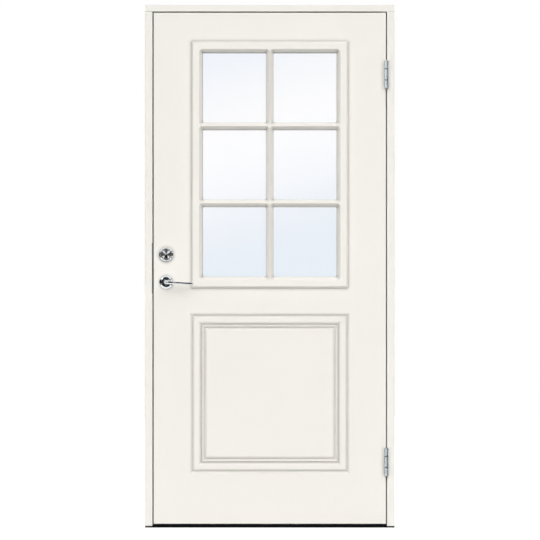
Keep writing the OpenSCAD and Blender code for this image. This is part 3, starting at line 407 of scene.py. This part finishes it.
class DOOR_OT_joinery(Operator):
    """Paints the frame and the leaf, and finishes what is inside the leaf"""

    bl_idname = "door.joinery"
    bl_label = "Joinery"

    def execute(self, context):
        colours = context.scene.door_colours
        paint = satin_paint("satin_paint", tuple(colours.paint))
        dress(paint, "frame_head", "lock_jamb", "hinge_jamb", "outer_skin", "inner_skin")
        dress(paint, "lock_stile", "hinge_stile", "top_rail", "bottom_rail")
        dress(paint, "outer_glazing_frame", "inner_glazing_frame")
        # inside the leaf: pale yellow wood and cream foam
        dress(open_grained_wood("planed_pine", linear("C9A876")), "aperture_lining")
        dress(closed_cell_foam("insulating_foam", linear("E8DDBE")), "insulation_core")
        # the near black line at the foot of the door, and the dull silver rail behind it
        dress(open_grained_wood("black_oiled_oak", tuple(colours.threshold)), "threshold")
        rail = finished_metal(
            "anodised_aluminium", tuple(colours.aluminium), smooth=0.32, rough=0.45, spot=12
        )
        dress(rail, "threshold_rail")
        # dark grey in the gaps round the leaf and the glass
        rubber = extruded_rubber("extruded_rubber", tuple(colours.seal))
        dress(rubber, "head_seal", "lock_jamb_seal", "hinge_jamb_seal", "threshold_seal")
        dress(rubber, "outer_gasket", "inner_gasket", "setting_blocks")
        return {"FINISHED"}


class DOOR_OT_glazing(Operator):
    """Finishes the sealed glass unit"""

    bl_idname = "door.glazing"
    bl_label = "Glazing"

    def execute(self, context):
        glass = float_glass("float_glass", tuple(context.scene.door_colours.glass))
        dress(glass, "outer_pane", "middle_pane", "inner_pane")
        # dull dark plastic between the panes' edges
        dress(extruded_rubber("warm_edge_spacer", linear("4A4B4C")), "outer_spacer", "inner_spacer")
        return {"FINISHED"}


class DOOR_OT_ironmongery(Operator):
    """Finishes the hinges, the lock and the screws"""

    bl_idname = "door.ironmongery"
    bl_label = "Ironmongery"

    def execute(self, context):
        colours = context.scene.door_colours
        # bluish silver with soft reflections, and painted shade that darkens it towards the faces it stands
        # on
        zinc = finished_metal(
            "zinc_plated_steel", tuple(colours.zinc), smooth=0.16, rough=0.24, spot=8, shade_reach=40
        )
        dress(zinc, "upper_frame_hinge", "lower_frame_hinge", "upper_door_hinge", "lower_door_hinge")
        dress(zinc, "hinge_pins", "frame_hinge_screws", "door_hinge_screws")
        dress(zinc, "strike_screws", "corner_screws", "glazing_screws")
        dress(zinc, "lock_case", "case_cover", "faceplate", "faceplate_screws", "dead_bolt", "spindle")
        # dull mid grey plating, darker than bare steel so that it paints the shade of the gap beside the lock
        grey = finished_metal("grey_plated_steel", tuple(colours.grey_plate), smooth=0.35, rough=0.5, spot=8)
        dress(grey, "strike_plate", "latch_bolt", "follower", "bolt_cam", "grub_screws")
        # dark and warm, with a soft gloss: brass, darkened further as painted shade for the recessed key plug
        brass = finished_metal("satin_brass", tuple(colours.brass), smooth=0.28, rough=0.42, spot=5)
        dress(brass, "hinge_washers", "key_plug")
        # for the pieces that the next steps make: mirror-like chrome, which shows the cards as bright and
        # dark bands, and grey nickel, on which the glints draw a star
        finished_metal("polished_chrome", tuple(colours.chrome), smooth=0.05, rough=0.1, spot=30)
        turned_metal("turned_nickel", tuple(colours.nickel), rose_place("cylinder_ring")[0])
        return {"FINISHED"}


def ease(t):
    """A smooth run from 0 to 1."""
    return t * t * (3 - 2 * t)


def weld(bm):
    """Joins points that coincide, and turns all faces outwards."""
    bmesh.ops.remove_doubles(bm, verts=bm.verts[:], dist=WELD)
    bmesh.ops.recalc_face_normals(bm, faces=bm.faces[:])


def settle(bm, name, material, body, slot, *nodes):
    """Finishes a piece: closed, smooth, riding on its body and standing for its CAD nodes."""
    weld(bm)
    mesh = bpy.data.meshes.new(name)
    bm.to_mesh(mesh)
    bm.free()
    mesh.polygons.foreach_set("use_smooth", [True] * len(mesh.polygons))
    mesh.set_sharp_from_angle(angle=SHARP_FOLD)
    mesh.materials.append(material)
    piece = bpy.data.objects.new(name, mesh)
    bpy.context.scene.collection.objects.link(piece)
    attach(piece, body)
    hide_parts(*nodes)


def turned(centre, out, section, edge):
    """A turned ring about an axis along Y, with rounded edges: section gives radius and distance outwards in
    millimetres, out is -1 or 1."""
    bm = bmesh.new()
    points = [bm.verts.new(centre + Vector((r * MM, h * MM * out, 0))) for r, h in section]
    wire = [bm.edges.new((p, q)) for p, q in zip(points, points[1:] + points[:1])]
    round_y = {"cent": centre, "axis": (0, 1, 0), "dvec": (0, 0, 0), "angle": math.tau, "steps": TURN_STEPS}
    bmesh.ops.spin(bm, geom=points + wire, use_merge=True, **round_y)
    weld(bm)
    sharp = [e for e in bm.edges if len(e.link_faces) == 2 and e.calc_face_angle(0) > ROUNDED_FOLD]
    bmesh.ops.bevel(bm, geom=sharp, offset=edge, segments=3, profile=0.5, material=-1, affect="EDGES")
    return bm


def start_loop(bm, centre, radius):
    """A round loop of edges about an axis along Y."""
    place = Matrix.Translation(centre) @ Matrix.Rotation(math.radians(90), 4, "X")
    made = bmesh.ops.create_circle(bm, segments=LOOP_STEPS, radius=radius, matrix=place)
    return list(dict.fromkeys(e for v in made["verts"] for e in v.link_edges))


def verts_of(loop):
    """The points of a loop of edges, each once."""
    return list(dict.fromkeys(v for e in loop for v in e.verts))


def draw_on(bm, loop, move=(0, 0, 0), radius=None, turn=None):
    """Extrudes a loop, moves or turns its new end, and gives it a radius."""
    made = bmesh.ops.extrude_edge_only(bm, edges=loop)["geom"]
    verts = [g for g in made if isinstance(g, bmesh.types.BMVert)]
    bmesh.ops.translate(bm, vec=move, verts=verts)
    if turn:
        about, axis, by = turn
        bmesh.ops.rotate(bm, cent=about, matrix=Matrix.Rotation(by, 3, axis), verts=verts)
    if radius is not None:
        centre = sum((v.co for v in verts), Vector()) / len(verts)
        now = (verts[0].co - centre).length
        bmesh.ops.scale(bm, vec=(radius / now,) * 3, space=Matrix.Translation(-centre), verts=verts)
    return [g for g in made if isinstance(g, bmesh.types.BMEdge)]


def close(bm, loop):
    """Closes a loop with one face."""
    bmesh.ops.edgeloop_fill(bm, edges=loop)


def rose_place(node):
    """The middle of a rose's or ring's face on the leaf, and which way is outwards there."""
    low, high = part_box(node)
    out = -1 if low.y < 0 else 1
    return Vector(((low.x + high.x) / 2, high.y if out < 0 else low.y, (low.z + high.z) / 2)), out


def sink_grub_hole(bm, base, outward):
    """Sinks the grub screw's hole into the lever's neck from below."""
    under = (base + outward * GRUB_PLACE * MM).xy
    hole = []
    for face in bm.faces:
        spot = face.calc_center_median()
        if spot.z < base.z - GRUB_BELOW * MM and (spot.xy - under).length < GRUB_NEAR * MM:
            hole.append(face)
    border = [e for f in hole for e in f.edges if sum(g in hole for g in e.link_faces) == 1]
    for v in verts_of(border):
        v.co.xy = under + (v.co.xy - under).normalized() * GRUB_RADIUS * MM
    bmesh.ops.delete(bm, geom=hole, context="FACES")
    close(bm, draw_on(bm, border, (0, 0, GRUB_DEPTH * MM)))


def lever_shape(node, rose, sizes):
    """A lever: socket for the spindle, flared collar, bend, tapering grip with a swollen round end."""
    face, out = rose_place(rose)
    low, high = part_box(node)
    # in millimetres: the lever's length, distance of its grip from the leaf, and its user-set sizes
    reach = (high.x - face.x) / MM
    thick = sizes.elbow_size / 2 / MM
    grip = max(abs(low.y - face.y), abs(high.y - face.y)) / MM - thick
    bend, tip = sizes.elbow / MM, sizes.tip / MM

    # it is made as an outer lever on a leaf whose face is at y = 0
    bm = bmesh.new()
    outward = Vector((0, -1, 0))
    base = Vector((face.x, 0, face.z))
    foot = start_loop(bm, base + outward * LEVER_FOOT * MM, SOCKET_RADIUS * MM)
    close(bm, draw_on(bm, foot, outward * SOCKET_DEPTH * MM))
    loop = draw_on(bm, foot, radius=FOOT_RADIUS * MM)

    # collar, and neck up to the bend
    stations = list(COLLAR)
    start, wide = COLLAR[-1]
    for i in range(1, NECK_STEPS + 1):
        t = i / NECK_STEPS
        stations.append((start + (grip - bend - start) * t, thick + (wide - thick) * (1 - t) ** NECK_CURVE))
    run = LEVER_FOOT
    for place, radius in stations:
        loop = draw_on(bm, loop, outward * (place - run) * MM, radius * MM)
        run = place

    pivot = base + Vector((bend, bend - grip, 0)) * MM
    turn = (pivot, "Z", math.radians(90 / BEND_STEPS))
    for i in range(1, BEND_STEPS + 1):
        radius = thick + (GRIP_RADIUS - thick) * ease(i / BEND_STEPS)
        loop = draw_on(bm, loop, radius=radius * MM, turn=turn)

    # the grip as distance along X and radius, and its round end
    end = reach - tip
    stations = []
    for i in range(1, GRIP_STEPS + 1):
        t = i / GRIP_STEPS
        thinned = (THIN_RADIUS - GRIP_RADIUS) * ease(min(1, t / THIN_AT))
        swollen = (tip - THIN_RADIUS) * ease(max(0, (t - SWELLS_FROM) / (1 - SWELLS_FROM)))
        stations.append((bend + (end - bend) * t, GRIP_RADIUS + thinned + swollen))
    for i in range(1, TIP_STEPS):
        round_end = math.radians(90 * i / TIP_STEPS)
        stations.append((end + tip * math.sin(round_end), tip * math.cos(round_end)))
    run = bend
    for place, radius in stations:
        loop = draw_on(bm, loop, ((place - run) * MM, 0, 0), radius * MM)
        run = place
    close(bm, loop)

    bmesh.ops.rotate(bm, cent=base, matrix=Matrix.Rotation(sizes.droop, 3, "Y"), verts=bm.verts[:])
    sink_grub_hole(bm, base, outward)
    bmesh.ops.translate(bm, vec=(0, face.y, 0), verts=bm.verts[:])
    if out > 0:
        mirror = Matrix.Translation((0, -face.y, 0))
        bmesh.ops.scale(bm, vec=(1, -1, 1), space=mirror, verts=bm.verts[:])
    return bm


class DOOR_OT_levers(Operator):
    """Makes the two levers"""

    bl_idname = "door.levers"
    bl_label = "Levers"

    def execute(self, context):
        for node, rose in (("outer_lever", "outer_rose"), ("inner_lever", "inner_rose")):
            bm = lever_shape(node, rose, context.scene.door_sizes)
            settle(bm, node + "_polished", MATERIALS["polished_chrome"], "handle", "chrome", node)
        return {"FINISHED"}


def rose_section(r, h, hole):
    """Half section of a rose as radius and height: low rim, cone, flat top, and a fall to the hole."""
    rim = [(hole, 0), (r, 0), (r, 2), (r - 0.4, 2.9), (r - 1.2, 3.7)]
    cone = [(r - 6.9, h - 0.6), (r - 7.5, h - 0.25), (r - 8.3, h)]
    return rim + cone + [(hole + 3, h), (hole + 1.2, h - 0.6), (hole, h - 0.9)]


def ring_section(r, h, hole):
    """Half section of the ring as radius and height: high rim, cone, narrow top, and a fall to the hole."""
    rim = [(hole, 0), (r, 0), (r, 6.6), (r - 0.3, 7.3), (r - 0.9, 7.8)]
    cone = [(r - 4.2, h - 0.2), (r - 4.6, h)]
    return rim + cone + [(r - 5, h), (r - 5.4, h - 0.3), (hole, h - 1.7)]


# turned covers: CAD node, section, radius of the hole in millimetres
COVERS = (
    ("outer_rose", rose_section, 10.3),
    ("inner_rose", rose_section, 10.3),
    ("turn_rose", rose_section, 5.3),
    ("cylinder_ring", ring_section, 21.3),
)


class DOOR_OT_roses(Operator):
    """Makes the roses under the levers and the thumb turn, and the ring round the cylinder"""

    bl_idname = "door.roses"
    bl_label = "Roses"

    def execute(self, context):
        edge = context.scene.door_sizes.edge / 2
        for node, section, hole in COVERS:
            face, out = rose_place(node)
            low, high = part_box(node)
            r = (high.x - low.x) / 2 / MM
            h = (high.y - low.y) / MM
            bm = turned(face, out, section(r, h, hole), edge)
            settle(bm, node + "_polished", MATERIALS["polished_chrome"], "leaf", "chrome", node)
        return {"FINISHED"}


class DOOR_OT_cylinder(Operator):
    """Makes the lock cylinder with its turned face"""

    bl_idname = "door.cylinder"
    bl_label = "Cylinder"

    def execute(self, context):
        node = "cylinder_body"
        ring, _ = rose_place("cylinder_ring")
        plug_low, plug_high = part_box("key_plug")
        low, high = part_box(node)
        r = (high.x - low.x) / 2
        front, back = low.y, high.y
        bore = (plug_high.x - plug_low.x) / 2 + PLUG_ROOM * MM
        # how far the plug's axis lies from the ring's
        across = (plug_low.x + plug_high.x) / 2 - ring.x
        up = (plug_low.z + plug_high.z) / 2 - ring.z
        aside = Vector((across, 0, up))
        bm = bmesh.new()
        side = start_loop(bm, ring, r)
        step = draw_on(bm, side, radius=BODY_RADIUS * MM)
        rear = draw_on(bm, step, (0, back - ring.y, 0))
        rim = draw_on(bm, side, (0, front + CHAMFER_HEIGHT * MM - ring.y, 0))
        rim = draw_on(bm, rim, (0, -CHAMFER_HEIGHT * MM, 0), r - CHAMFER_WIDTH * MM)
        dish = draw_on(bm, rim, (0, DISH_DEPTH * MM, 0), r - DISH_RIM * MM)
        mouth = draw_on(bm, dish, aside, bore)
        # the bore, which meets the rear face
        draw_on(bm, mouth, (0, back - front - DISH_DEPTH * MM, 0))
        draw_on(bm, rear, aside, bore)
        settle(bm, "cylinder_turned", MATERIALS["turned_nickel"], "leaf", "grey_steel", node)
        return {"FINISHED"}


class DOOR_OT_thumb_turn(Operator):
    """Makes the thumb turn on the inside of the lock"""

    bl_idname = "door.thumb_turn"
    bl_label = "Thumb turn"

    def execute(self, context):
        node = "thumb_turn"
        axis, _ = rose_place("turn_rose")
        low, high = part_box(node)
        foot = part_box("turn_rose")[1].y + FLANGE_GAP * MM
        half = context.scene.door_sizes.turn_grip / 2
        tall = (high.z - low.z) / 2
        bm = bmesh.new()
        loop = start_loop(bm, Vector((axis.x, low.y, axis.z)), SHAFT_RADIUS * MM)
        close(bm, loop)
        # shaft, flange on the rose, waist, and the grip's round beginning
        stations = [(low.y + h * MM, r * MM) for h, r in SHAFT] + [(foot + h * MM, r * MM) for h, r in FLANGE]
        stations.append((foot + GRIP_START * MM, half))
        run = low.y
        for place, radius in stations:
            loop = draw_on(bm, loop, (0, place - run, 0), radius)
            run = place
        # the grip is as tall as the CAD node, and its outer edge is rounded
        for side in (-1, 1):
            verts = [v for v in verts_of(loop) if side * (v.co.z - axis.z) > LEVEL]
            bmesh.ops.translate(bm, vec=(0, 0, side * (tall - half)), verts=verts)
        now = (half, tall)
        for depth, inset in GRIP_EDGE:
            place = high.y - depth * MM
            loop = draw_on(bm, loop, (0, place - run, 0))
            run = place
            then = (half - inset * MM, tall - inset * MM)
            size = (then[0] / now[0], 1, then[1] / now[1])
            now = then
            about = Matrix.Translation((-axis.x, 0, -axis.z))
            bmesh.ops.scale(bm, vec=size, space=about, verts=verts_of(loop))
        close(bm, loop)
        settle(bm, node + "_polished", MATERIALS["polished_chrome"], "thumb_turn", "chrome", node)
        return {"FINISHED"}


def rectangle(low, high):
    """The corners of a flat rectangle, which two opposite ones give."""
    first, second = (axis for axis in range(3) if low[axis] != high[axis])
    beside, above = list(low), list(low)
    beside[first] = high[first]
    above[second] = high[second]
    return low, beside, high, above


def stage_sheet(scene, name, low, high, material):
    """A flat rectangle of the stage."""
    mesh = bpy.data.meshes.new(name)
    bm = bmesh.new()
    bm.faces.new([bm.verts.new(corner) for corner in rectangle(low, high)])
    bm.to_mesh(mesh)
    bm.free()
    mesh.materials.append(material)
    sheet = bpy.data.objects.new(name, mesh)
    scene.collection.objects.link(sheet)
    return sheet


def card(scene, name, low, high, material, through_glass=False):
    """A sheet that only shiny things show, and glass if it is to be seen through that."""
    sheet = stage_sheet(scene, name, low, high, material)
    sheet.visible_camera = False
    sheet.visible_diffuse = False
    sheet.visible_shadow = False
    sheet.visible_transmission = through_glass


def card_finish(name, direction, tones):
    """A card that glows with a run of tones along a direction."""
    made, tree, shader = finish_named(name)
    tree.nodes.remove(shader)
    where = add(tree, "TexCoord").outputs["Object"]
    run = add(tree, "VectorMath", {0: where, 1: direction}, operation="DOT_PRODUCT").outputs["Value"]
    ramp = add(tree, "ValToRGB", {"Fac": run})
    elements = ramp.color_ramp.elements
    while len(elements) < len(tones):
        elements.new(0.5)
    for element, (place, tone) in zip(elements, tones):
        element.position = place
        element.color = linear(tone)
    glow = add(tree, "Emission", {"Color": ramp.outputs["Color"]})
    feed(tree, tree.nodes["Material Output"], {"Surface": glow.outputs[0]})
    return made


def to_the_eye(tree):
    """1 for what the camera sees itself, in shiny things and through glass, 0 for light on matt surfaces."""
    seen = add(tree, "LightPath").outputs
    direct = {0: seen["Is Camera Ray"], 1: seen["Is Glossy Ray"]}
    either = add(tree, "Math", direct, operation="MAXIMUM").outputs[0]
    return add(tree, "Math", {0: either, 1: seen["Is Transmission Ray"]}, operation="MAXIMUM").outputs[0]


def lay_floor(scene):
    """The floor is white to the eye and still takes the door's shadow."""
    made, tree, shader = finish_named("studio_floor")
    tree.nodes.remove(shader)
    matt = add(tree, "BsdfDiffuse", {"Color": shade(scene.door_colours.floor, FLOOR_SHADE)})
    glow = add(tree, "Emission", {"Color": shade(WHITE, FLOOR_GLOW), "Strength": to_the_eye(tree)})
    total = add(tree, "AddShader", {0: matt.outputs[0], 1: glow.outputs[0]})
    feed(tree, tree.nodes["Material Output"], {"Surface": total.outputs[0]})
    stage_sheet(scene, "studio_floor", (-FLOOR_REACH, -FLOOR_REACH, 0), (FLOOR_REACH, FLOOR_REACH, 0), made)


def surround(scene):
    """The surroundings are white to the eye, in metal and through glass, and a soft fill elsewhere."""
    world = bpy.data.worlds.new("studio_surroundings")
    world.use_nodes = True
    scene.world = world
    tree = world.node_tree
    tree.nodes.clear()
    fill = add(tree, "Background", {"Color": WHITE, "Strength": FILL}).outputs[0]
    white = add(tree, "Background", {"Color": WHITE, "Strength": 1.0}).outputs[0]
    mixed = add(tree, "MixShader", {0: to_the_eye(tree), 1: fill, 2: white})
    add(tree, "OutputWorld", {"Surface": mixed.outputs[0]})


def set_cards(scene):
    """Cards that the glass shows, and cards that give the metal its bands."""
    card(scene, *SKY_CARD, card_finish("sky_card", SKY_SLOPE, SKY_TONES), through_glass=True)
    card(scene, *WHITE_CARD, card_finish("white_card", UPWARDS, WHITE_TONES))
    grey = card_finish("grey_card", UPWARDS, GREY_TONES)
    dark = card_finish("dark_card", UPWARDS, DARK_TONES)
    for cards, finish in ((GREY_CARDS, grey), (DARK_CARDS, dark)):
        for name, low, high in cards:
            card(scene, name, low, high, finish)


def hang_lamps(scene):
    """Soft lamps before and behind the door, and two small ones for the glints in its metal."""
    for lamps, on_matt in ((LIGHTS, True), (GLINTS, False)):
        for name, strength, size, turn, height in lamps:
            lamp = bpy.data.lights.new(name, "SUN")
            lamp.energy = strength
            lamp.angle = math.radians(size)
            turn, height = math.radians(turn), math.radians(height)
            level = math.cos(height)
            shine = Vector((-math.sin(turn) * level, math.cos(turn) * level, -math.sin(height)))
            light = bpy.data.objects.new(name, lamp)
            light.rotation_euler = shine.to_track_quat("-Z", "Y").to_euler()
            light.visible_diffuse = on_matt
            scene.collection.objects.link(light)


def place_camera(scene):
    """A camera far before the door, at the photograph's angle."""
    data = bpy.data.cameras.new("catalogue_camera")
    data.sensor_width = SENSOR
    data.lens = SENSOR * VIEW_DISTANCE / VIEW_WIDTH
    data.clip_end = VIEW_END
    camera = bpy.data.objects.new("catalogue_camera", data)
    x, y, z = VIEW_CENTRE
    camera.location = (x, y - VIEW_DISTANCE, z)
    camera.rotation_euler = (math.radians(90), 0, 0)
    scene.collection.objects.link(camera)
    scene.camera = camera


class DOOR_OT_studio(Operator):
    """Makes the floor, the lights, the white surroundings and the camera"""

    bl_idname = "door.studio"
    bl_label = "Studio"

    def execute(self, context):
        scene = context.scene
        scene.view_settings.view_transform = "Standard"
        lay_floor(scene)
        surround(scene)
        set_cards(scene)
        hang_lamps(scene)
        place_camera(scene)
        return {"FINISHED"}


class DOOR_PT_panel(Panel):
    """Lists the door's colours, sizes and steps"""

    bl_idname = "DOOR_PT_panel"
    bl_label = "Panelled front door"
    bl_space_type = "VIEW_3D"
    bl_region_type = "UI"
    bl_category = "Door"

    def draw(self, context):
        column = self.layout.column()
        for group in (context.scene.door_colours, context.scene.door_sizes):
            for name in group.bl_rna.properties.keys():
                if name not in ("rna_type", "name"):
                    column.prop(group, name)
        for step in STEPS:
            column.operator(step.bl_idname)


# in the order in which they run
STEPS = (
    DOOR_OT_joinery,
    DOOR_OT_glazing,
    DOOR_OT_ironmongery,
    DOOR_OT_levers,
    DOOR_OT_roses,
    DOOR_OT_cylinder,
    DOOR_OT_thumb_turn,
    DOOR_OT_studio,
)
CLASSES = (DoorColours, DoorSizes, *STEPS, DOOR_PT_panel)


def register():
    for c in CLASSES:
        bpy.utils.register_class(c)
    bpy.types.Scene.door_colours = PointerProperty(type=DoorColours)
    bpy.types.Scene.door_sizes = PointerProperty(type=DoorSizes)


def unregister():
    del bpy.types.Scene.door_sizes
    del bpy.types.Scene.door_colours
    for c in reversed(CLASSES):
        bpy.utils.unregister_class(c)


def main():
    register()
    for step in STEPS:
        group, name = step.bl_idname.split(".")
        getattr(getattr(bpy.ops, group), name)()


if __name__ == "__main__":
    main()
